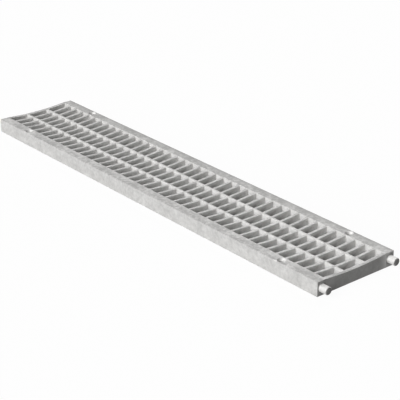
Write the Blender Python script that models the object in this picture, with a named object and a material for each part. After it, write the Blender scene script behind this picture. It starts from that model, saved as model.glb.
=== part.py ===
"""Channel drain grate: one casting with a dished top, two pegs at one end and two sockets at the other.

Metres, +Z up. X runs along the grate and the pegs stand out at +X. The origin is on the flat
underside, below the middle of the whole length, pegs included.
"""
import math

import bmesh
import bpy

# Body: end face to end face, without the pegs
BODY_LENGTH = 1.000
BODY_WIDTH = 0.187
BODY_HEIGHT = 0.0285
RAIL_WIDTH = 0.0205
END_WALL = 0.0075

# Slots: the bars' widths are at rail-top height, and the draft is the lean of a wall per unit of depth
SLOT_ROWS = 41
SLOT_COLUMNS = 3
CROSS_BAR_WIDTH = 0.0063
LONG_BAR_WIDTH = 0.0057
WALL_DRAFT = 0.03

# Dish: how far the middle of the walking surface lies below the rails
DISH_DEPTH = 0.0036
DISH_STEPS_PER_SLOT = 3

# Fixing holes, straight through the rails, with 90 degree countersinks in the rails' tops
HOLE_DIAMETER = 0.009
SINK_DIAMETER = 0.016
HOLE_FROM_END = 0.100
HOLE_SIDES = 24

# Pegs on the rails' +X ends, their middles' height above the underside, and the sockets that take
# the next grate's pegs
PEG_DIAMETER = 0.0154
PEG_LENGTH = 0.017
PEG_CHAMFER = 0.001
PEG_HEIGHT = 0.015
PEG_SIDES = 32
SOCKET_CLEARANCE = 0.0004
SOCKET_END_GAP = 0.0015

# Chip in the front rail's outer top edge: a scoop of this radius, with its centre this far off both faces
CHIP_FROM_END = 0.1065
CHIP_RADIUS = 0.007
CHIP_CENTRE_OFFSET = 0.0036

# How far cutters run past a face, and pegs into the body
OVERLAP = 0.004

BODY_CENTRE_X = -PEG_LENGTH / 2
PLUS_END_X = BODY_CENTRE_X + BODY_LENGTH / 2
MINUS_END_X = BODY_CENTRE_X - BODY_LENGTH / 2
SIDE_Y = BODY_WIDTH / 2
DISH_HALF_WIDTH = SIDE_Y - RAIL_WIDTH
RAIL_CENTRE_Y = SIDE_Y - RAIL_WIDTH / 2


def clear_scene():
    """Removes every object from the scene."""
    for old in list(bpy.data.objects):
        bpy.data.objects.remove(old, do_unlink=True)


def galvanised_iron():
    """Returns the casting's light grey, matt zinc finish."""
    material = bpy.data.materials.new("galvanised_cast_iron")
    material.use_nodes = True
    shader = material.node_tree.nodes["Principled BSDF"]
    shader.inputs["Base Color"].default_value = (0.56, 0.56, 0.54, 1.0)
    shader.inputs["Roughness"].default_value = 0.62
    shader.inputs["Metallic"].default_value = 0.35
    return material


def dish_height(y):
    """Returns the height of the top at y: an arc of DISH_DEPTH between the two flat rails."""
    if abs(y) >= DISH_HALF_WIDTH:
        return BODY_HEIGHT
    radius = (DISH_HALF_WIDTH ** 2 + DISH_DEPTH ** 2) / (2 * DISH_DEPTH)
    return BODY_HEIGHT - DISH_DEPTH + radius - math.sqrt(radius ** 2 - y ** 2)


def slot_lines(low, high, margin, bar, count, steps):
    """Returns the grid lines across a row of slots as (place, lean, opens) tuples.

    lean is -1 to 1: the way in which the line moves with depth. opens says whether the strip
    from this line to the next one lies in a slot.
    """
    slot = (high - low - 2 * margin - (count - 1) * bar) / count
    lines = [(low, 0.0, False)]
    for index in range(count):
        start = low + margin + index * (slot + bar)
        for step in range(steps + 1):
            share = step / steps
            lines.append((start + share * slot, 2 * share - 1, step < steps))
    lines.append((high, 0.0, False))
    return lines


def grid_body(name):
    """Builds the slotted body as one closed mesh on a grid of lines."""
    x_lines = slot_lines(MINUS_END_X, PLUS_END_X, END_WALL, CROSS_BAR_WIDTH, SLOT_ROWS, 1)
    y_lines = slot_lines(-SIDE_Y, SIDE_Y, RAIL_WIDTH, LONG_BAR_WIDTH, SLOT_COLUMNS, DISH_STEPS_PER_SLOT)
    mesh = bmesh.new()

    def corner(x_line, y_line, height):
        drop = WALL_DRAFT * (BODY_HEIGHT - height)
        return mesh.verts.new((x_line[0] + x_line[1] * drop, y_line[0] + y_line[1] * drop, height))

    top = [[corner(xl, yl, dish_height(yl[0])) for yl in y_lines] for xl in x_lines]
    bottom = [[corner(xl, yl, 0.0) for yl in y_lines] for xl in x_lines]

    def solid(i, j):
        inside = 0 <= i < len(x_lines) - 1 and 0 <= j < len(y_lines) - 1
        return inside and not (x_lines[i][2] and y_lines[j][2])

    def wall(start, end):
        first, last = top[start[0]][start[1]], top[end[0]][end[1]]
        mesh.faces.new((first, bottom[start[0]][start[1]], bottom[end[0]][end[1]], last))

    for i in range(len(x_lines) - 1):
        for j in range(len(y_lines) - 1):
            if not solid(i, j):
                continue
            square = [(i, j), (i + 1, j), (i + 1, j + 1), (i, j + 1)]
            mesh.faces.new([top[a][b] for a, b in square])
            mesh.faces.new([bottom[a][b] for a, b in reversed(square)])
            if not solid(i, j - 1):
                wall(square[0], square[1])
            if not solid(i + 1, j):
                wall(square[1], square[2])
            if not solid(i, j + 1):
                wall(square[2], square[3])
            if not solid(i - 1, j):
                wall(square[3], square[0])
    return finish_mesh(mesh, name)


def finish_mesh(mesh, name):
    """Turns a bmesh into a linked object."""
    bmesh.ops.recalc_face_normals(mesh, faces=mesh.faces)
    data = bpy.data.meshes.new(name)
    mesh.to_mesh(data)
    mesh.free()
    result = bpy.data.objects.new(name, data)
    bpy.context.collection.objects.link(result)
    return result


def turned(name, profile, sides):
    """Builds a closed round solid about its own Z from (radius, height) pairs, bottom to top."""
    mesh = bmesh.new()
    rings = []
    for radius, height in profile:
        angles = [2 * math.pi * side / sides for side in range(sides)]
        rings.append([mesh.verts.new((radius * math.cos(a), radius * math.sin(a), height)) for a in angles])
    mesh.faces.new(reversed(rings[0]))
    mesh.faces.new(rings[-1])
    for low, high in zip(rings, rings[1:]):
        for side in range(sides):
            after = (side + 1) % sides
            mesh.faces.new((low[side], low[after], high[after], high[side]))
    return finish_mesh(mesh, name)


def combine(body, tool, operation):
    """Adds a Boolean of the tool to the body, and marks the tool as a guide that isn't a part."""
    modifier = body.modifiers.new(tool.name, "BOOLEAN")
    modifier.operation = operation
    modifier.solver = "EXACT"
    modifier.object = tool
    tool.hide_render = True
    tool.display_type = "WIRE"


def drill_fixing_holes(body):
    """Cuts the upright, countersunk holes through both rails, near both ends."""
    from_centre = BODY_LENGTH / 2 - HOLE_FROM_END
    radius = HOLE_DIAMETER / 2
    sink_radius = SINK_DIAMETER / 2
    profile = [
        (radius, -OVERLAP),
        (radius, BODY_HEIGHT - (sink_radius - radius)),
        (sink_radius + OVERLAP, BODY_HEIGHT + OVERLAP),
    ]
    for end in (-1, 1):
        for side in (-1, 1):
            drill = turned("fixing_hole_cutter", profile, HOLE_SIDES)
            drill.location = (BODY_CENTRE_X + end * from_centre, side * RAIL_CENTRE_Y, 0.0)
            combine(body, drill, "DIFFERENCE")


def add_pegs(body):
    """Grows the chamfered pegs out of the rails' +X ends."""
    radius = PEG_DIAMETER / 2
    profile = [
        (radius, -OVERLAP),
        (radius, PEG_LENGTH - PEG_CHAMFER),
        (radius - PEG_CHAMFER, PEG_LENGTH),
    ]
    for side in (-1, 1):
        peg = turned("peg_form", profile, PEG_SIDES)
        peg.location = (PLUS_END_X, side * RAIL_CENTRE_Y, PEG_HEIGHT)
        peg.rotation_euler = (0.0, math.pi / 2, 0.0)
        combine(body, peg, "UNION")


def cut_sockets(body):
    """Cuts the blind sockets in the rails' -X ends, each a clearance larger than a peg."""
    radius = PEG_DIAMETER / 2 + SOCKET_CLEARANCE
    depth = PEG_LENGTH + SOCKET_END_GAP
    for side in (-1, 1):
        cutter = turned("socket_cutter", [(radius, -OVERLAP), (radius, depth)], PEG_SIDES)
        cutter.location = (MINUS_END_X, side * RAIL_CENTRE_Y, PEG_HEIGHT)
        cutter.rotation_euler = (0.0, math.pi / 2, 0.0)
        combine(body, cutter, "DIFFERENCE")


def cut_chip(body):
    """Scoops the small chip out of the front rail's outer top edge."""
    mesh = bmesh.new()
    bmesh.ops.create_icosphere(mesh, subdivisions=3, radius=CHIP_RADIUS)
    cutter = finish_mesh(mesh, "chip_cutter")
    cutter.location = (
        PLUS_END_X - CHIP_FROM_END,
        -SIDE_Y - CHIP_CENTRE_OFFSET,
        BODY_HEIGHT + CHIP_CENTRE_OFFSET,
    )
    combine(body, cutter, "DIFFERENCE")


def main():
    """Builds the whole grate."""
    clear_scene()
    grate = grid_body("grate")
    grate.data.materials.append(galvanised_iron())
    drill_fixing_holes(grate)
    add_pegs(grate)
    cut_sockets(grate)
    cut_chip(grate)
    grate.data.shade_smooth()
    grate.data.set_sharp_from_angle(angle=math.radians(20))


main()
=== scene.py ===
"""Channel drain grate: the dressed casting, its stage, lamps and camera.

Metres, +Z up. X runs along the grate towards the pegs, and the flat underside lies at Z = 0.
"""
import math

import bmesh
import bpy
import numpy as np
from bpy.props import FloatProperty, FloatVectorProperty, IntProperty, PointerProperty
from mathutils import Matrix, Vector


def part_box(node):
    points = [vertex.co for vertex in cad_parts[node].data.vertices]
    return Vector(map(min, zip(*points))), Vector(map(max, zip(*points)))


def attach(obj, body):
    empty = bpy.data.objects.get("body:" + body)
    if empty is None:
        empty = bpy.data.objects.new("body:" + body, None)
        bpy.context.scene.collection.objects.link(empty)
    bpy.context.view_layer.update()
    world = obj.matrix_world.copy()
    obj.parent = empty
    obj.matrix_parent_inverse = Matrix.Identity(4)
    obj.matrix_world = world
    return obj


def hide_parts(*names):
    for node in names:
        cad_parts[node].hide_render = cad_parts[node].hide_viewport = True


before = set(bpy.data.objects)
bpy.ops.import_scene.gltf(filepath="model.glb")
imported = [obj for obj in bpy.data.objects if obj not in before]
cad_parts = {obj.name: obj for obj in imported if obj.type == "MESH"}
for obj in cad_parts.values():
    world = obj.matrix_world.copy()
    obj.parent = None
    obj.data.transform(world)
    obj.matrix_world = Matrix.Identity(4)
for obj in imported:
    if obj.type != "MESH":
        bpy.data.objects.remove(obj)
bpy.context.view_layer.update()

bl_info = {
    "name": "Channel Drain Grate",
    "version": (1, 0, 0),
    "blender": (4, 5, 0),
    "location": "View3D > Sidebar > Drain Grate",
    "description": "Builds a cast drain channel grate with its stage and camera",
    "category": "Object",
}

CASTING_LOW, CASTING_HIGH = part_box("grate")
PEG_LENGTH = 0.017
BODY_LENGTH = CASTING_HIGH.x - CASTING_LOW.x - PEG_LENGTH

# Steps along each part of the surface
CORNER_STEPS = 4
SLOT_STEPS_X = 1
SLOT_STEPS_Y = 3
LIP_STEPS = 4
FOOT_STEPS = 2
RAIL_STEPS = 8
END_STEPS = 2
SIDE_STEPS = 8
EDGE_STEPS = 3

# Wear of the surface: 1 is bright, worn metal, 0 is the dull cast skin and -1 is darkest. The values
# were set against the photograph. Besides real wear, they hold painted shade on the end faces, the
# pegs' ends and roots, the back edge, rail and corners and deep in the slots, and painted highlights
# on one side of each countersink and on the front rail by its slots
CROSS_TREAD = 0.26
END_TREAD = -0.1
LONG_TREAD = 0.48
WORN_LIP = 0.4
SLOT_WALL = 0.83
WORN_EDGE = 0.05
# Painted shade on the back's top edge and on its upright corners
BACK_EDGE_SHADE = -0.6
BACK_CORNER_SHADE = -1.0
WORN_CHIP = 1.3
PEG_SIDE = 0.8
# Painted shade on the pegs' ends and round their roots
PEG_END_SHADE = -0.9
PEG_ROOT_SHADE = -0.7
DULL = 0.0

# Share of the rounding at a peg's end that has the end's painted shade
PEG_END_SHADE_SHARE = 0.25

# Wear across each rail's top, from its outer edge to its slots at even steps. The front rail's rise towards
# its slots is a painted highlight, and the back rail's dark outer part is painted shade
FRONT_RAIL_LIGHT = (0.05, 0.02, 0.15, 0.24)
BACK_RAIL_SHADE = (-0.5, -0.2, -0.1, -0.1)

# Painted shade deep in the slots and at their feet, darker with depth: most of the way round, and at
# the corner that is at the front on the socket side, where it is darkest
SLOT_DEEP_SHADE = (0.5, -0.8)
SLOT_FOOT_SHADE = (-0.1, -0.9)

# Painted light and shade on a countersink: its mean, how far it swings to either side, and where its
# painted light is brightest, as an angle from +X towards +Y
SINK_LIGHT_AND_SHADE = (0.3, 0.8)
SINK_LIT_ANGLE = math.radians(60.0)

# Painted shade on the end faces, darker at the front: the front's until the first share of the way across,
# the back's from the second
END_SHADE = (-0.53, -0.1)
END_SHADE_TURN = (0.84, 0.89)

# How near two points are to be one, how often edges near the chip are cut, how far out from the
# chip's middle that is done, in radii of its scoop, and the seed of the slots' stray
MERGE_DISTANCE = 2e-6
CHIP_CUTS = 5
CHIP_REACH = 1.5
CASTING_SEED = 41

# Roughness of the chip: two waves' sizes as shares of the scoop's radius, and how many radians they
# turn per unit of the direction's parts along, across and up
CHIP_ROUGH = (0.03, 0.025)
CHIP_RATES = (23, 31, 17)

# Room that a bolt hole's block of grid lines leaves beyond the countersink, in hole rims
BLOCK_ROOM = 1.6

# A worn edge's bend is drawn in towards its chord by a share that swings about its mean with the way
# round. The sines' values are the swing, the radians per metre and the angle at the start
EDGE_DRAW = 0.35
EDGE_SINES = ((0.2, 167, 0.0), (0.2, 411, 1.3))

# Noises of the zinc skin: waves per metre, detail and roughness
CLOUDS = (42.0, 2.0, 0.55)
PATCHES = (150.0, 3.0, 0.6)
GRAIN = (800.0, 2.0, 0.55)
PITS = (420.0, 3.0, 0.65)
SPECKS = (230.0, 1.0, 0.55)

# The upward part of the normal at which a wall starts and ends turning into a top, and the values at
# which the specks' noise starts and ends turning into a speck
TOP_STEP = (0.55, 0.95)
SPECK_STEP = (0.62, 0.74)

# The skin's tone from dark to light zinc on a wall, how much lower it is on a top, and how much
# stronger its blotches are there
WALL_TONE = 0.70
TOP_DROP = 0.375
TOP_CONTRAST = 0.9

# The photograph's camera: its direction and turn in degrees, its distance from the middle of the
# rails' top plane and its shift across the view in metres, and its focal length in millimetres
VIEW_AZIMUTH = 50.4921
VIEW_ELEVATION = 24.4622
VIEW_ROLL = -0.2823
VIEW_DISTANCE = 2.6608546
VIEW_SHIFT = (0.0491064, -0.0446256)
VIEW_LENS = 120.774
SENSOR_WIDTH = 36.0

# The lamps' directions as azimuth and elevation, and their width, in degrees
KEY_DIRECTION = (4.5, 32.0)
KEY_WIDTH = 50.0
BACK_DIRECTION = (-150.0, 35.0)
BACK_WIDTH = 30.0


def length(name, description, default):
    """A distance property in metres."""
    return FloatProperty(
        name=name, description=description, default=default, min=0.0, unit="LENGTH", subtype="DISTANCE")


def share(name, description, default):
    """A property from 0 to 1."""
    return FloatProperty(
        name=name, description=description, default=default, min=0.0, max=1.0, subtype="FACTOR")


def colour(name, description, default):
    """A colour property in scene linear values."""
    return FloatVectorProperty(
        name=name, description=description, default=default, min=0.0, max=1.0, size=3, subtype="COLOR")


def amount(name, description, default):
    """A plain property that is never negative."""
    return FloatProperty(name=name, description=description, default=default, min=0.0)


class GrateSizes(bpy.types.PropertyGroup):
    """Sizes of the casting."""
    body_length: length("Body length", "End face to end face, without the pegs", BODY_LENGTH)
    body_width: length("Body width", "Across both rails", CASTING_HIGH.y - CASTING_LOW.y)
    body_height: length("Body height", "Underside to the rails' tops", CASTING_HIGH.z - CASTING_LOW.z)
    rail_width: length("Rail width", "Side face to the first slot", 0.0205)
    end_wall: length("End wall", "End face to the first slot", 0.0075)
    slot_rows: IntProperty(name="Slot rows", description="Rows of slots along the grate", default=41, min=1)
    slot_columns: IntProperty(name="Slot columns", description="Slots in each row", default=3, min=1)
    cross_bar: length("Cross bar", "Width of the bars that run across the grate", 0.0063)
    long_bar: length("Long bar", "Width of the bars that run along the grate", 0.0057)
    slot_corner: length("Slot corner", "Radius of the slots' upright corners", 0.0010)
    slot_stray: length("Slot stray", "How far a slot's walls stray from their places", 0.00012)
    lip_reach: length("Lip reach", "How far a cross bar's rounding reaches in from the slot", 0.0013)
    lip_drop: length("Lip drop", "How far a cross bar's rounding reaches down the wall", 0.0036)
    rim_margin: length("Rim margin", "Strip of a rail or end wall that belongs to its slots' rims", 0.0011)
    draft: amount("Draft", "Lean of a slot's wall per unit of depth", 0.03)
    # The wear given at this depth is painted shade, darker than the wall above it
    deep_line: length("Deep line", "How far down a slot's wall the wear is given again", 0.012)
    foot_radius: length("Foot radius", "Rounding of the slots' lower edges", 0.0009)
    dish_depth: length("Dish depth", "How far the middle of the top lies below the rails", 0.0036)
    edge_radius: length("Edge radius", "Rounding of the body's outer edges", 0.0006)
    hole_diameter: length("Hole diameter", "Bolt holes through the rails", 0.009)
    sink_diameter: length("Sink diameter", "Countersinks of the bolt holes at the rails' tops", 0.016)
    hole_from_end: length("Hole from end", "End face to the middle of a bolt hole", 0.100)
    hole_rim: length("Hole rim", "Rounding of the bolt holes' edges", 0.0004)
    peg_height: length("Peg height", "Underside to the middle of the pegs and sockets", 0.015)
    peg_diameter: length("Peg diameter", "Pegs on the rails' ends", 0.0154)
    peg_length: length("Peg length", "How far the pegs stand out", PEG_LENGTH)
    peg_chamfer: length("Peg chamfer", "Chamfer of the pegs' ends", 0.001)
    peg_rim: length("Peg rim", "Rounding of the pegs' and the sockets' edges", 0.0005)
    peg_root: length("Peg root", "Hollow rounding where a peg meets the end face", 0.0007)
    socket_clearance: length("Socket clearance", "Room round a peg in its socket", 0.0004)
    socket_end_gap: length("Socket end gap", "Room beyond a peg in its socket", 0.0015)
    chip_from_end: length("Chip from end", "Peg end face to the chip in the front rail", 0.1065)
    chip_radius: length("Chip radius", "Radius of the scoop that makes the chip", 0.007)
    chip_offset: length("Chip offset", "How far the scoop's middle lies off both faces", 0.0036)


class GrateFinish(bpy.types.PropertyGroup):
    """Colours and gloss of the galvanised iron."""
    zinc_dark: colour("Dark zinc", "Duller blotches of the zinc coat", (0.350, 0.346, 0.339))
    zinc_light: colour("Light zinc", "Paler blotches of the zinc coat", (0.645, 0.639, 0.628))
    # Light colour of real wear, and of the painted highlights on the countersinks and by the front rail's
    # slots
    zinc_worn_and_lit: colour("Worn zinc", "Rubbed edges, bar tops and slot walls", (0.725, 0.719, 0.707))
    # Dark colour of the painted shade on the end faces, the pegs' ends and roots, the back and deep in the
    # slots
    zinc_shade: colour("Stained zinc", "Dark stains on the ends and in the corners", (0.215, 0.212, 0.206))
    metallic: share("Metallic", "Share of metallic reflection", 0.12)
    roughness: share("Roughness", "Roughness of the cast skin", 0.62)


class GrateStage(bpy.types.PropertyGroup):
    """Floor and lamps."""
    floor_size: length("Floor size", "Side of the square floor", 14.0)
    floor_drop: length("Floor drop", "How far the floor lies below the underside", 0.0002)
    floor_colour: colour("Floor colour", "Colour of the floor as it lights the grate", (0.25, 0.25, 0.25))
    floor_glow: share("Floor glow", "Share of plain white in the floor as it is seen", 0.95)
    key_strength: amount("Key strength", "Wide soft sun from the front", 3.65)
    back_strength: amount("Back strength", "Soft weak sun from behind on the left", 1.0)
    fill_strength: amount("Fill strength", "World light that is the same from all sides", 0.02)


def bend(start, corner, end, steps):
    """A bend as a quadratic Bezier curve.

    At t from 0 to 1 the point is (1 - t)^2 start + 2 t (1 - t) corner + t^2 end.
    """
    start, corner, end = np.asarray(start), np.asarray(corner), np.asarray(end)
    t = np.linspace(0.0, 1.0, steps + 1)[:, None]
    return (1 - t) ** 2 * start + 2 * t * (1 - t) * corner + t ** 2 * end


def eased(corners, reaches):
    """A polyline of (radius, height) corners whose inner corners are bends.

    A bend starts and ends its reach away from its corner, along the two lines that meet there.
    """
    corners = np.asarray(corners, float)
    rows = [corners[:1]]
    for before, here, after, reach in zip(corners, corners[1:], corners[2:], reaches):
        back, ahead = before - here, after - here
        start = here + back * (reach / np.linalg.norm(back))
        end = here + ahead * (reach / np.linalg.norm(ahead))
        rows.append(bend(start, here, end, EDGE_STEPS))
    rows.append(corners[-1:])
    return np.concatenate(rows)


class Skin:
    """Patches of one closed surface, gathered before their seams are merged."""

    def __init__(self):
        self.points, self.wear, self.quads, self.count = [], [], [], 0

    def sweep(self, points, wear, closed, keep=None):
        """Adds a grid of points[..., station, ring, xyz], whose stations wrap round if it is closed.

        wear is a value for each point, and keep says which of the grid's quads are wanted.
        """
        shape = points.shape[:-1]
        index = self.count + np.arange(int(np.prod(shape))).reshape(shape)
        here = index if closed else index[..., :-1, :]
        after = np.roll(index, -1, axis=-2) if closed else index[..., 1:, :]
        quads = np.stack([here[..., :-1], after[..., :-1], after[..., 1:], here[..., 1:]], -1)
        if keep is not None:
            quads = quads[keep]
        self.points.append(points.reshape(-1, 3))
        self.wear.append(np.broadcast_to(wear, shape).reshape(-1))
        self.quads.append(quads.reshape(-1, 4))
        self.count += int(np.prod(shape))

    def arrays(self):
        """The used points, their wear, and the quads renumbered to them."""
        quads = np.concatenate(self.quads)
        used, quads = np.unique(quads, return_inverse=True)
        return np.concatenate(self.points)[used], np.concatenate(self.wear)[used], quads.reshape(-1, 4)


def slot_places(low, high, margin, bar, count, rim):
    """The slots' low edges, high edges and borders along one axis.

    The slots share evenly what the two margins and the bars leave. The border of two slots is the
    middle of their bar, and the outermost borders lie the rim's width beyond the slots.
    """
    slot = (high - low - 2 * margin - (count - 1) * bar) / count
    first = low + margin + np.arange(count) * (slot + bar)
    last = first + slot
    borders = np.concatenate([[first[0] - rim], (last[:-1] + first[1:]) / 2, [last[-1] + rim]])
    return first, last, borders


def slot_lines(places, corner, steps):
    """The grid lines across a row of slots: for each slot its border, the ends and steps of its
    straight part, and a line half way between border and straight part on either side."""
    first, last, borders = places
    low, high = (first + corner)[:, None], (last - corner)[:, None]
    straight = low + np.linspace(0, 1, steps + 1) * (high - low)
    lead, trail = (borders[:-1, None] + low) / 2, (borders[1:, None] + high) / 2
    cells = np.concatenate([borders[:-1, None], lead, straight, trail], 1)
    return np.append(cells.ravel(), borders[-1])


def slot_stations():
    """Stations round a rounded rectangle, anticlockwise from its low corner.

    A station has a place on the inner rectangle that joins the corners' centres (-1 to 1 on each
    axis), an outward direction, and a push (0 to 1 on each axis) that takes that place out to the
    border. One side and its corner are worked out, and turned by quarter turns for the others.
    """
    part = np.arange(1, CORNER_STEPS) / CORNER_STEPS
    round_push = np.stack([np.minimum(2 * part, 1), np.minimum(2 - 2 * part, 1)], -1)
    core, angle, push = [], [], []
    for side, steps in enumerate((SLOT_STEPS_X, SLOT_STEPS_Y) * 2):
        run = np.linspace(-1, 1, steps + 1)
        low_side = np.stack([run, 0 * run - 1], -1)
        high_corner = np.stack([0 * part + 1, 0 * part - 1], -1)
        places = np.concatenate([low_side, high_corner])
        pushes = np.concatenate([np.stack([0 * run, 0 * run + 1], -1), round_push])
        turn = side * math.pi / 2
        along, across = math.cos(turn), math.sin(turn)
        core.append(places @ np.array([[along, across], [-across, along]]))
        angle.append(turn - math.pi / 2 + np.concatenate([0 * run, part * math.pi / 2]))
        push.append(pushes if side % 2 == 0 else pushes[:, ::-1])
    angle = np.concatenate(angle)
    return np.concatenate(core), np.stack([np.cos(angle), np.sin(angle)], -1), np.concatenate(push)


def slot_axis(places, stray, corner, core, outward, push):
    """One coordinate of all the slots' stations: on the inner rectangle, on the border, and the
    room between wall and border on the side that the station faces."""
    first, last, borders = (part.reshape((-1,) + (1,) * (stray.ndim - 2)) for part in places)
    low, high = first + stray[0], last + stray[1]
    inner = ((low + high)[..., None] + (high - low - 2 * corner)[..., None] * core) / 2
    plain = ((first + last)[..., None] + (last - first - 2 * corner)[..., None] * core) / 2
    below, above = borders[:-1, ..., None], borders[1:, ..., None]
    border = plain + push * (np.where(core < 0, below, above) - plain)
    room = np.where(outward < 0, first[..., None] - below, above - last[..., None])
    return inner, border, room


def rail_light_and_shade(y, size):
    """The painted highlight and shade of the rails' tops at y: the front or the back rail's values,
    read between steps.
    """
    inward = (size.body_width / 2 - np.abs(y)) / size.rail_width
    steps = np.linspace(0, 1, len(FRONT_RAIL_LIGHT))
    return np.where(y < 0, np.interp(inward, steps, FRONT_RAIL_LIGHT), np.interp(inward, steps, BACK_RAIL_SHADE))


def end_shade(y, size):
    """The painted shade of the end faces at y, which turns from the front's to the back's value."""
    return np.interp(y / size.body_width + 0.5, END_SHADE_TURN, END_SHADE)


def top_wear_and_painted_light(x, y, size, x_places, y_places):
    """The wear of the top's grid points: the rails' painted highlight and shade outside the slots'
    columns, the end walls' own, and the treads' wear between the slots, where the long bars are worn most."""
    x_borders, y_borders = x_places[2], y_places[2]
    column = np.abs(y) < y_borders[-1] - MERGE_DISTANCE
    tread = column & (x > x_borders[0] - MERGE_DISTANCE) & (x < x_borders[-1] + MERGE_DISTANCE)
    on_cross = np.abs(x[..., None] - x_borders).min(-1) < MERGE_DISTANCE
    on_long = tread & ~on_cross & (np.abs(y[..., None] - y_borders[1:-1]).min(-1) < MERGE_DISTANCE)
    return np.select([on_long, tread, column], [LONG_TREAD, CROSS_TREAD, END_TREAD], rail_light_and_shade(y, size))


def sweep_slots(skin, size, x_places, y_places):
    """Every slot as one sweep: a profile carried round a rounded rectangle.

    A ring's point is inner + (corner radius + offset) * outward, at the ring's height. The offset
    runs from the lip's reach down a bend to the wall, leans out with the draft past the deep line,
    and runs out again round the foot. The lip grows with the square of the room beside the slot, so
    it is wide on a bar and narrow on a rail. The first and last rings are the borders.
    """
    core, outward, push = slot_stations()
    grid = (2, 2, size.slot_rows, size.slot_columns)
    stray_x, stray_y = np.random.default_rng(CASTING_SEED).normal(0, size.slot_stray, grid)
    stray_y = stray_y.swapaxes(1, 2)
    corner, height = size.slot_corner, size.body_height
    x, border_x, room_x = slot_axis(x_places, stray_x, corner, core[:, 0], outward[:, 0], push[:, 0])
    y, border_y, room_y = slot_axis(y_places, stray_y, corner, core[:, 1], outward[:, 1], push[:, 1])
    y, border_y, room_y = (part.swapaxes(0, 1) for part in (y, border_y, room_y))

    room = (outward[:, 0] ** 2 * room_x + outward[:, 1] ** 2 * room_y)[..., None]
    lip = (2 * room / size.cross_bar) ** 2
    lip_shape = bend((1, 0), (0, 0), (0, 1), LIP_STEPS)
    foot_shape = bend((0, 1), (0, 0), (1, 0), FOOT_STEPS) * size.foot_radius
    foot_shape[:, 0] += size.draft * height
    deep_shape = (size.draft * size.deep_line, height - size.deep_line)
    foot_shape = np.concatenate([[deep_shape], foot_shape])
    foot = np.broadcast_to(foot_shape, lip.shape[:-1] + foot_shape.shape)
    offset = np.concatenate([size.lip_reach * lip * lip_shape[:, 0], foot[..., 0]], -1)
    z = np.concatenate([height - size.lip_drop * lip * lip_shape[:, 1], foot[..., 1]], -1)
    ring_x = x[..., None] + (corner + offset) * outward[:, :1]
    ring_y = y[..., None] + (corner + offset) * outward[:, 1:]
    rings = np.stack([ring_x, ring_y, z], -1)
    border_x, border_y = np.broadcast_arrays(border_x, border_y)
    above = np.stack([border_x, border_y, np.full_like(border_x, height)], -1)[..., None, :]
    points = np.concatenate([above, rings, above * (1, 1, 0)], -2)

    wear = np.full(points.shape[:-1], DULL)
    wear[..., 0] = top_wear_and_painted_light(border_x, border_y, size, x_places, y_places)
    wear[..., 1:LIP_STEPS + 2] = np.linspace(WORN_LIP, SLOT_WALL, LIP_STEPS + 1)
    # Painted shade down each slot's wall: darker with depth, and darkest at the slot's low corner, at the
    # front on the socket side
    shaded_corner = (core < 0).all(-1)
    round_shade, corner_shade = SLOT_DEEP_SHADE
    wear[..., LIP_STEPS + 2] = np.where(shaded_corner, corner_shade, round_shade)
    round_shade, corner_shade = SLOT_FOOT_SHADE
    wear[..., LIP_STEPS + 3:-1] = np.where(shaded_corner, corner_shade, round_shade)[:, None]
    skin.sweep(points, wear, closed=True)


def sweep_flats(skin, size, x_lines, y_lines, keep, worn):
    """The top and the underside round the slots: a flat grid each, over the grid lines.

    worn gives the wear of the top's points.
    """
    x, y = np.meshgrid(x_lines, y_lines, indexing="ij")
    for height, wear in ((size.body_height, worn(x, y)), (0.0, DULL)):
        skin.sweep(np.stack([x, y, np.full_like(x, height)], -1), wear, False, keep)


def side_lines(size):
    """The heights of the grid lines on the side and end faces, from the top down."""
    return np.linspace(size.body_height - size.edge_radius, size.edge_radius, SIDE_STEPS + 1)


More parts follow.
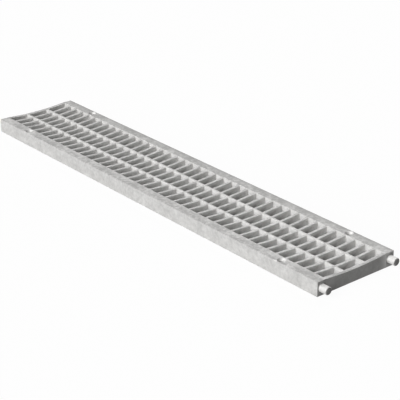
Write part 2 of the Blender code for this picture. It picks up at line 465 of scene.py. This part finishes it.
def sweep_shell(skin, size, x_lines, y_lines, worn):
    """The side and end faces as one sweep: a profile carried round the top's outline.

    A ring's point is outline + offset * outward. The offset runs out round the top edge's bend,
    down the face, and in again round the bottom edge's bend. The top bend is drawn in towards
    its chord by a sum of two sines of the way round, because a real edge is worn unevenly. At a
    corner the outline stands still and the direction turns. worn gives the wear of the top's points.
    """
    turn = np.arange(1, CORNER_STEPS) / CORNER_STEPS * math.pi / 2
    base, angle = [], []
    for side in range(4):
        run = (x_lines, y_lines)[side % 2][:: 1 if side < 2 else -1]
        other = (y_lines[0], x_lines[-1], y_lines[-1], x_lines[0])[side]
        edge = np.stack([run, np.full_like(run, other)][:: 1 if side % 2 == 0 else -1], -1)
        base += [edge, np.repeat(edge[-1:], CORNER_STEPS - 1, 0)]
        angle += [np.full(len(run), side * math.pi / 2), side * math.pi / 2 + turn]
    base, angle = np.concatenate(base), np.concatenate(angle) - math.pi / 2
    outward = np.stack([np.cos(angle), np.sin(angle)], -1)

    radius, height = size.edge_radius, size.body_height
    way = np.cumsum(np.linalg.norm(np.diff(base, axis=0, prepend=base[:1]), axis=1))
    uneven = EDGE_DRAW + sum(swing * np.sin(way * rate + start) for swing, rate, start in EDGE_SINES)
    round_edge = bend((0, 0), (1, 0), (1, 1), EDGE_STEPS)
    chord = np.linspace((0, 0), (1, 1), EDGE_STEPS + 1)
    top = radius * (round_edge + uneven[:, None, None] * (chord - round_edge))
    faces = side_lines(size)[1:]
    low = radius * round_edge[::-1][1:]
    ones = np.ones((len(base), 1))
    offset = np.concatenate([top[..., 0], radius * ones * np.ones_like(faces), ones * low[:, 0]], 1)
    z = np.concatenate([height - top[..., 1], ones * faces, ones * low[:, 1]], 1)
    points = np.concatenate([base[:, None] + offset[..., None] * outward[:, None], z[..., None]], -1)

    facing_x, facing_y = outward.T
    wear = np.full(points.shape[:-1], DULL)
    wear[:, 0] = worn(*base.T)
    # The back's top edge gets painted shade
    wear[:, 1:EDGE_STEPS] = np.where(facing_y > 0.5, BACK_EDGE_SHADE, WORN_EDGE)[:, None]
    # The end faces get painted shade
    face = np.where(np.abs(facing_x) > 0.5, end_shade(base[:, 1], size), DULL)
    # The upright corners at the back get painted shade
    back_corner_shade = (facing_y > 0.1) & (facing_y < 0.9)
    wear[:, EDGE_STEPS:EDGE_STEPS + SIDE_STEPS + 1] = np.where(back_corner_shade, BACK_CORNER_SHADE, face)[:, None]
    # The rails' ends are left open on both end faces, for the pegs' and the sockets' own sweeps
    keep = np.ones((len(base), points.shape[1] - 1), bool)
    for start in (len(x_lines), 2 * len(x_lines) + len(y_lines) + 2 * (CORNER_STEPS - 1)):
        start += CORNER_STEPS - 1
        for first in (start, start + len(y_lines) - 1 - RAIL_STEPS):
            keep[first:first + RAIL_STEPS, EDGE_STEPS:EDGE_STEPS + SIDE_STEPS] = False
    skin.sweep(points, wear, True, keep)


def outline(a, b):
    """The points round a block of grid lines, anticlockwise from its low corner."""
    return np.concatenate([
        np.stack([a[:-1], 0 * a[:-1] + b[0]], -1), np.stack([0 * b[:-1] + a[-1], b[:-1]], -1),
        np.stack([a[:0:-1], 0 * a[:0:-1] + b[-1]], -1), np.stack([0 * b[:0:-1] + a[0], b[:0:-1]], -1)])


def circles(edge, centre, profile):
    """Rings about a centre, one for each (radius, height) pair, with a station for each edge point.

    Station k of n lies at the angle 2 pi k / n plus the mean lead of the edge's own angles.
    """
    own = np.unwrap(np.arctan2(*(edge - centre).T[::-1]))
    even = np.linspace(0, 2 * math.pi, len(edge), endpoint=False)
    angle = (even + np.mean(own - even))[:, None]
    radius, height = np.asarray(profile).T
    return np.stack([
        centre[0] + radius * np.cos(angle), centre[1] + radius * np.sin(angle), height + 0 * angle], -1)


def level(edge, height):
    """An edge as one ring at a height."""
    return np.concatenate([edge, np.full((len(edge), 1), height)], -1)[:, None]


def sweep_bolt_hole(skin, size, x_block, y_block, centre):
    """A bolt hole: rings from the block's outline in to the rim, down the countersink's cone, which
    slopes at 45 degrees, down the wall and out again."""
    radius, sink, height = size.hole_diameter / 2, size.sink_diameter / 2, size.body_height
    cone_foot = (radius, height - (sink - radius))
    corners = [(2 * sink, height), (sink, height), cone_foot, (radius, 0), (2 * radius, 0)]
    profile = eased(corners, [size.hole_rim] * 3)[1:-1]
    edge = outline(x_block, y_block)
    points = np.concatenate([level(edge, height), circles(edge, centre, profile), level(edge, 0)], 1)
    # Painted light and shade on the countersink: one side of its cone is lighter and the other darker
    mean, swing = SINK_LIGHT_AND_SHADE
    turn = np.arctan2(points[:, 2, 1] - centre[1], points[:, 2, 0] - centre[0])
    wear = np.tile((mean + swing * np.cos(turn - SINK_LIT_ANGLE))[:, None], (1, points.shape[1]))
    wear[:, :2] = rail_light_and_shade(points[:, :2, 1], size)
    wear[:, -EDGE_STEPS - 2:] = DULL
    skin.sweep(points, wear, True)


def sweep_on_end(skin, size, block, centre, profile, end, facing, wear):
    """A peg or a socket on an end face: rings from the block's outline to the closed middle.

    The rings are worked out in (y, z, height), and height is measured out of the end face.
    """
    edge = outline(*block)
    local = np.concatenate([level(edge, 0), circles(edge, centre, profile)], 1)
    points = np.stack([end + facing * local[..., 2], local[..., 0], local[..., 1]], -1)
    # The outline takes the end face's painted shade
    border = end_shade(edge[:, :1], size)
    skin.sweep(points, np.concatenate([border, np.tile(wear, (len(edge), 1))], 1), True)


def dish(points, size, half):
    """Lowers the top into its dish: z shrinks by the share drop / height.

    The drop at y is that of an arc through both rails' inner edges, dish_depth deep, and nothing
    beyond them.
    """
    depth = size.dish_depth
    radius = (half ** 2 + depth ** 2) / (2 * depth)
    drop = depth - radius + np.sqrt(radius ** 2 - np.minimum(np.abs(points[:, 1]), half) ** 2)
    points[:, 2] *= 1 - drop / size.body_height


def vertex_places(data):
    """The places of a mesh's points as an array."""
    places = np.empty(3 * len(data.vertices), np.float32)
    data.vertices.foreach_get("co", places)
    return places.reshape(-1, 3)


def close_skin(data, chip, reach):
    """Merges the patches' seams, cuts the edges near the chip finer and turns the faces outwards.

    Faces that the cuts leave with more than four sides are cut into triangles.
    """
    mesh = bmesh.new()
    mesh.from_mesh(data)
    bmesh.ops.remove_doubles(mesh, verts=mesh.verts, dist=MERGE_DISTANCE)
    mesh.to_mesh(data)
    ends = np.empty(2 * len(data.edges), np.int32)
    data.edges.foreach_get("vertices", ends)
    middles = vertex_places(data)[ends.reshape(-1, 2)].mean(1)
    near = np.flatnonzero(np.linalg.norm(middles - chip, axis=1) < reach)
    mesh.edges.ensure_lookup_table()
    near_edges = [mesh.edges[index] for index in near]
    bmesh.ops.subdivide_edges(mesh, edges=near_edges, cuts=CHIP_CUTS, use_grid_fill=True)
    many_sided = [face for face in mesh.faces if len(face.verts) > 4]
    bmesh.ops.triangulate(mesh, faces=many_sided, quad_method="BEAUTY", ngon_method="BEAUTY")
    bmesh.ops.recalc_face_normals(mesh, faces=mesh.faces)
    open_edges = sum(not edge.is_manifold for edge in mesh.edges)
    mesh.to_mesh(data)
    mesh.free()
    if open_edges:
        raise RuntimeError(f"the casting's surface has {open_edges} open or crowded edges")


def knock_chip(data, chip, radius):
    """Knocks the chip out of an edge: points inside a rough ball are pushed out to its surface.

    The ball's radius changes with the direction by one sine of its part along and one of its parts
    across and up, for a broken look.
    """
    places = vertex_places(data)
    away = places - chip
    distance = np.linalg.norm(away, axis=1, keepdims=True)
    turn = away / distance
    along, across, up = turn[:, :1], turn[:, 1:2], turn[:, 2:]
    long_size, cross_size = CHIP_ROUGH
    rate_along, rate_across, rate_up = CHIP_RATES
    long_wave = long_size * np.sin(rate_along * along)
    cross_wave = cross_size * np.sin(rate_across * across + rate_up * up)
    rough = radius * (1 + long_wave + cross_wave)
    moved = np.where(distance < rough, chip + turn * rough, places)
    data.vertices.foreach_set("co", moved.astype(np.float32).ravel())
    wear = np.empty(len(places), np.float32)
    data.attributes["wear"].data.foreach_get("value", wear)
    wear[(distance < rough)[:, 0]] = WORN_CHIP
    data.attributes["wear"].data.foreach_set("value", wear)


def casting_mesh(size):
    """Builds the casting as one closed mesh with a wear value at each point, which also holds painted
    shade and painted highlights.
    """
    low_x, high_x = CASTING_LOW.x, CASTING_LOW.x + size.body_length
    front = size.body_width / 2
    half = front - size.rail_width
    rim = size.rim_margin
    x_places = slot_places(low_x, high_x, size.end_wall, size.cross_bar, size.slot_rows, rim)
    y_places = slot_places(-front, front, size.rail_width, size.long_bar, size.slot_columns, rim)
    slots_x = slot_lines(x_places, size.slot_corner, SLOT_STEPS_X)
    slots_y = slot_lines(y_places, size.slot_corner, SLOT_STEPS_Y)
    radius = size.edge_radius
    x_lines = np.concatenate([
        np.linspace(low_x + radius, slots_x[0], END_STEPS + 1)[:-1], slots_x,
        np.linspace(slots_x[-1], high_x - radius, END_STEPS + 1)[1:]])
    y_lines = np.concatenate([
        np.linspace(-front + radius, slots_y[0], RAIL_STEPS + 1)[:-1], slots_y,
        np.linspace(slots_y[-1], front - radius, RAIL_STEPS + 1)[1:]])

    def worn(x, y):
        """The wear and the rails' painted highlight and shade of the top at its grid lines' places."""
        return top_wear_and_painted_light(x, y, size, x_places, y_places)

    skin = Skin()
    sweep_slots(skin, size, x_places, y_places)
    sweep_shell(skin, size, x_lines, y_lines, worn)

    keep = np.ones((len(x_lines) - 1, len(y_lines) - 1), bool)
    keep[END_STEPS:-END_STEPS, RAIL_STEPS:-RAIL_STEPS] = False
    rail_y = front - size.rail_width / 2
    reach = size.sink_diameter / 2 + BLOCK_ROOM * size.hole_rim
    last_strip = len(y_lines) - 1
    rails = ((slice(0, RAIL_STEPS), -rail_y), (slice(last_strip - RAIL_STEPS, last_strip), rail_y))
    for hole_x in (low_x + size.hole_from_end, high_x - size.hole_from_end):
        first = np.searchsorted(x_lines, hole_x - reach, side="right") - 1
        last = np.searchsorted(x_lines, hole_x + reach, side="left")
        for strip, hole_y in rails:
            keep[first:last, strip] = False
            y_block = y_lines[strip.start:strip.stop + 1]
            sweep_bolt_hole(skin, size, x_lines[first:last + 1], y_block, (hole_x, hole_y))
    sweep_flats(skin, size, x_lines, y_lines, keep, worn)

    peg, root, chamfer = size.peg_diameter / 2, size.peg_root, size.peg_chamfer
    tip, edge = size.peg_length, size.peg_rim
    peg_corners = [(2 * peg, 0), (peg, 0), (peg, tip - chamfer), (peg - chamfer, tip), (0, tip)]
    peg_profile = eased(peg_corners, (root, edge, edge))[1:]
    along = peg_profile[:, 1]
    end_from = tip - edge * PEG_END_SHADE_SHARE
    # The pegs' sides are worn, and their ends and roots get painted shade
    peg_wear_and_shade = np.select([along < root, along < end_from], [PEG_ROOT_SHADE, PEG_SIDE], PEG_END_SHADE)
    socket, deep = peg + size.socket_clearance, tip + size.socket_end_gap
    socket_corners = [(2 * socket, 0), (socket, 0), (socket, -deep), (0, -deep)]
    socket_profile = eased(socket_corners, (edge, edge))[1:]
    socket_wear = np.full(len(socket_profile), DULL)
    z_block = side_lines(size)[::-1]
    for strip, y in rails:
        block = (y_lines[strip.start:strip.stop + 1], z_block)
        centre = (y, size.peg_height)
        sweep_on_end(skin, size, block, centre, peg_profile, high_x, 1, peg_wear_and_shade)
        sweep_on_end(skin, size, block, centre, socket_profile, low_x, -1, socket_wear)

    points, wear, quads = skin.arrays()
    dish(points, size, half)
    data = bpy.data.meshes.new("grate_casting")
    data.from_pydata(points, [], quads)
    # The wear attribute also holds painted shade and painted highlights
    data.attributes.new("wear", "FLOAT", "POINT").data.foreach_set("value", wear.astype(np.float32))
    chip = (high_x - size.chip_from_end, -front - size.chip_offset, size.body_height + size.chip_offset)
    close_skin(data, chip, CHIP_REACH * size.chip_radius)
    knock_chip(data, chip, size.chip_radius)
    data.shade_smooth()
    return data


class Wire:
    """A node's output that can stand in sums with others and with numbers, so that shader maths
    reads as maths."""

    def __init__(self, finish, socket):
        self.finish, self.socket = finish, socket

    def maths(self, operation, first, second=0.0):
        """One Math node."""
        return self.finish.node("ShaderNodeMath", {"operation": operation}, {0: first, 1: second})[0]

    def __add__(self, other):
        return self.maths("ADD", self, other)

    def __radd__(self, other):
        return self.maths("ADD", other, self)

    def __sub__(self, other):
        return self.maths("SUBTRACT", self, other)

    def __rsub__(self, other):
        return self.maths("SUBTRACT", other, self)

    def __mul__(self, other):
        return self.maths("MULTIPLY", self, other)

    def __rmul__(self, other):
        return self.maths("MULTIPLY", other, self)

    def __or__(self, other):
        return self.maths("MAXIMUM", self, other)


class Finish:
    """The node tree of a material or of the world."""

    def __init__(self, owner):
        owner.use_nodes = True
        self.tree = owner.node_tree
        self.tree.nodes.clear()

    def node(self, kind, settings=None, sockets=None):
        """Adds a node, with its settings and then its sockets' values or links, and returns its outputs."""
        node = self.tree.nodes.new(kind)
        for name, value in (settings or {}).items():
            setattr(node, name, value)
        for name, value in (sockets or {}).items():
            if isinstance(value, Wire):
                self.tree.links.new(value.socket, node.inputs[name])
            else:
                node.inputs[name].default_value = value
        wires = {}
        for index, out in enumerate(node.outputs):
            wires[index] = wires[out.name] = Wire(self, out)
        return wires

    def noise(self, place, scale, detail, roughness):
        """Noise from about 0 to 1, with a mean of one half."""
        return self.node("ShaderNodeTexNoise", None, {
            "Vector": place, "Scale": scale, "Detail": detail, "Roughness": roughness})["Fac"]

    def smooth_step(self, value, low, high):
        """A soft step from 0 at the low value to 1 at the high one."""
        return self.node("ShaderNodeMapRange", {"interpolation_type": "SMOOTHSTEP"}, {
            "Value": value, "From Min": low, "From Max": high, "To Min": 0.0, "To Max": 1.0})[0]

    def blend(self, factor, first, second):
        """A mix of two colours by a factor that is held between 0 and 1."""
        return self.node("ShaderNodeMix", {"data_type": "RGBA"}, {0: factor, 6: first, 7: second})[2]


def rgba(value):
    """A colour with full alpha."""
    return (*value, 1.0)


def galvanised_casting(look):
    """Dull cast iron under zinc: soft blotches, a fine pitted skin, bright worn edges, painted highlights
    and painted shade.

    The skin's tone is the wall's or the top's own plus three noises, with the patches strongest. The
    wear, with its painted shade and highlights, broken up by the patches and the grain, mixes in worn
    zinc above 0 and the dark shade colour below it, and smooths what it rubs. The bump is a sum of
    pits, grain and raised specks.
    """
    material = bpy.data.materials.new("galvanised_casting")
    finish = Finish(material)
    coordinates = finish.node("ShaderNodeTexCoord")
    place = coordinates["Object"]
    facing = finish.node("ShaderNodeSeparateXYZ", None, {0: coordinates["Normal"]})["Z"]
    upward = finish.smooth_step(facing, *TOP_STEP)
    cloud = finish.noise(place, *CLOUDS) - 0.5
    patch = finish.noise(place, *PATCHES) - 0.5
    grain = finish.noise(place, *GRAIN) - 0.5
    pits = finish.noise(place, *PITS)
    contrast = 1.0 + TOP_CONTRAST * upward
    tone = WALL_TONE - TOP_DROP * upward + contrast * (0.9 * cloud + 1.3 * patch + 0.6 * grain)
    skin = finish.blend(tone, rgba(look.zinc_dark), rgba(look.zinc_light))
    wear = finish.node("ShaderNodeAttribute", {"attribute_name": "wear"})["Fac"]
    # The wear attribute's painted highlights take the worn colour, and its painted shade the dark colour
    wear_and_painted_light = wear * (1.0 + 1.8 * patch + 0.8 * grain)
    base = finish.blend(wear_and_painted_light, skin, rgba(look.zinc_worn_and_lit))
    base = finish.blend(0.0 - wear_and_painted_light, base, rgba(look.zinc_shade))
    roughness = look.roughness + 0.25 * patch - 0.12 * wear_and_painted_light
    speck = finish.smooth_step(finish.noise(place, *SPECKS), *SPECK_STEP)
    height = 0.7 * pits + 0.3 * grain + 0.8 * speck
    bump = finish.node("ShaderNodeBump", None, {
        "Strength": 0.35, "Distance": 0.0005, "Height": height})["Normal"]
    shader = finish.node("ShaderNodeBsdfPrincipled", None, {
        "Base Color": base, "Roughness": roughness, "Metallic": look.metallic, "Normal": bump})[0]
    finish.node("ShaderNodeOutputMaterial", None, {"Surface": shader})
    return material


def seen_directly(finish):
    """1 where a ray comes from the camera, a gloss or through glass, and else 0."""
    path = finish.node("ShaderNodeLightPath")
    return path["Is Camera Ray"] | path["Is Glossy Ray"] | path["Is Transmission Ray"]


def pale_floor(stage):
    """A floor that is plain pale grey to the lamps and near white to the eye, with its shadows."""
    material = bpy.data.materials.new("pale_floor")
    finish = Finish(material)
    matt = finish.node("ShaderNodeBsdfDiffuse", None, {"Color": rgba(stage.floor_colour)})[0]
    white = finish.node("ShaderNodeBsdfDiffuse", None, {"Color": (0.95, 0.95, 0.95, 1.0)})[0]
    glow = finish.node("ShaderNodeEmission", None, {"Color": (1.0, 1.0, 1.0, 1.0), "Strength": 1.0})[0]
    shown = finish.node("ShaderNodeMixShader", None, {0: stage.floor_glow, 1: white, 2: glow})[0]
    both = finish.node("ShaderNodeMixShader", None, {0: seen_directly(finish), 1: matt, 2: shown})[0]
    finish.node("ShaderNodeOutputMaterial", None, {"Surface": both})
    return material


def studio_world(stage):
    """A world that is white to the eye and a weak even fill to the casting."""
    world = bpy.data.worlds.new("studio")
    finish = Finish(world)
    fill = finish.node("ShaderNodeBackground", None, {"Strength": stage.fill_strength})[0]
    white = finish.node("ShaderNodeBackground", None, {"Color": (1.0, 1.0, 1.0, 1.0), "Strength": 1.0})[0]
    both = finish.node("ShaderNodeMixShader", None, {0: seen_directly(finish), 1: fill, 2: white})[0]
    finish.node("ShaderNodeOutputWorld", None, {"Surface": both})
    return world


def direction(azimuth, elevation):
    """The unit vector towards an azimuth (0 is -Y and 90 is +X) and an elevation, in degrees.

    It is (sin a cos e, -cos a cos e, sin e).
    """
    a, e = math.radians(azimuth), math.radians(elevation)
    return Vector((math.sin(a) * math.cos(e), -math.cos(a) * math.cos(e), math.sin(e)))


def soft_sun(name, towards, width, strength):
    """A sun lamp of some width in degrees that shines from a direction."""
    data = bpy.data.lights.new(name, "SUN")
    data.energy, data.angle = strength, math.radians(width)
    lamp = bpy.data.objects.new(name, data)
    lamp.rotation_euler = direction(*towards).to_track_quat("Z", "Y").to_euler()
    return lamp


def photo_camera():
    """The camera that saw the photograph.

    Its back axis points from the grate to the camera by azimuth and elevation. Its right and up
    axes are turned by the roll about that axis.
    """
    back, roll = direction(VIEW_AZIMUTH, VIEW_ELEVATION), math.radians(VIEW_ROLL)
    level_right = Vector((0.0, 0.0, 1.0)).cross(back).normalized()
    level_up = back.cross(level_right)
    right = math.cos(roll) * level_right + math.sin(roll) * level_up
    up = math.cos(roll) * level_up - math.sin(roll) * level_right
    middle = Vector((-PEG_LENGTH / 2, 0.0, CASTING_HIGH.z))
    data = bpy.data.cameras.new("photo_camera")
    data.sensor_width, data.lens = SENSOR_WIDTH, VIEW_LENS
    data.clip_start, data.clip_end = 0.05, 60.0
    camera = bpy.data.objects.new("photo_camera", data)
    place = middle + back * VIEW_DISTANCE + right * VIEW_SHIFT[0] + up * VIEW_SHIFT[1]
    turn = Matrix((right, up, back)).transposed().to_4x4()
    camera.matrix_world = Matrix.Translation(place) @ turn
    return camera


class GRATE_OT_casting(bpy.types.Operator):
    """Build the cast grate over its frame"""
    bl_idname = "drain_grate.casting"
    bl_label = "Casting"

    def execute(self, context):
        data = casting_mesh(context.scene.grate_sizes)
        data.materials.append(galvanised_casting(context.scene.grate_finish))
        piece = bpy.data.objects.new("grate_casting", data)
        context.scene.collection.objects.link(piece)
        normals = piece.modifiers.new("flat_faces", "WEIGHTED_NORMAL")
        normals.weight = 50
        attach(piece, "root")
        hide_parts("grate")
        return {"FINISHED"}


class GRATE_OT_stage(bpy.types.Operator):
    """Build the floor, the lamps and the camera"""
    bl_idname = "drain_grate.stage"
    bl_label = "Stage"

    def execute(self, context):
        scene, stage = context.scene, context.scene.grate_stage
        reach = stage.floor_size / 2
        data = bpy.data.meshes.new("floor")
        corners = [(-reach, -reach), (reach, -reach), (reach, reach), (-reach, reach)]
        data.from_pydata([(x, y, -stage.floor_drop) for x, y in corners], [], [(0, 1, 2, 3)])
        data.materials.append(pale_floor(stage))
        floor = bpy.data.objects.new("floor", data)
        scene.collection.objects.link(floor)

        scene.collection.objects.link(soft_sun("key", KEY_DIRECTION, KEY_WIDTH, stage.key_strength))
        scene.collection.objects.link(soft_sun("back", BACK_DIRECTION, BACK_WIDTH, stage.back_strength))
        scene.world = studio_world(stage)
        scene.view_settings.view_transform = "Standard"
        camera = photo_camera()
        scene.collection.objects.link(camera)
        scene.camera = camera
        return {"FINISHED"}


class GRATE_PT_panel(bpy.types.Panel):
    """Buttons that build the grate and its stage"""
    bl_idname = "GRATE_PT_panel"
    bl_label = "Drain Grate"
    bl_space_type = "VIEW_3D"
    bl_region_type = "UI"
    bl_category = "Drain Grate"

    def draw(self, context):
        for group in ("grate_sizes", "grate_finish", "grate_stage"):
            values = getattr(context.scene, group)
            for name in values.__annotations__:
                self.layout.prop(values, name)
        for operator in OPERATORS:
            self.layout.operator(operator.bl_idname)


OPERATORS = (GRATE_OT_casting, GRATE_OT_stage)
CLASSES = (GrateSizes, GrateFinish, GrateStage, *OPERATORS, GRATE_PT_panel)


def register():
    """Registers the classes and hangs the settings on the scene."""
    for cls in CLASSES:
        bpy.utils.register_class(cls)
    bpy.types.Scene.grate_sizes = PointerProperty(type=GrateSizes)
    bpy.types.Scene.grate_finish = PointerProperty(type=GrateFinish)
    bpy.types.Scene.grate_stage = PointerProperty(type=GrateStage)


def unregister():
    """Takes the settings and the classes away again."""
    for name in ("grate_stage", "grate_finish", "grate_sizes"):
        delattr(bpy.types.Scene, name)
    for cls in reversed(CLASSES):
        bpy.utils.unregister_class(cls)


def main():
    """Builds every piece."""
    register()
    bpy.ops.drain_grate.casting()
    bpy.ops.drain_grate.stage()


if __name__ == "__main__":
    main()
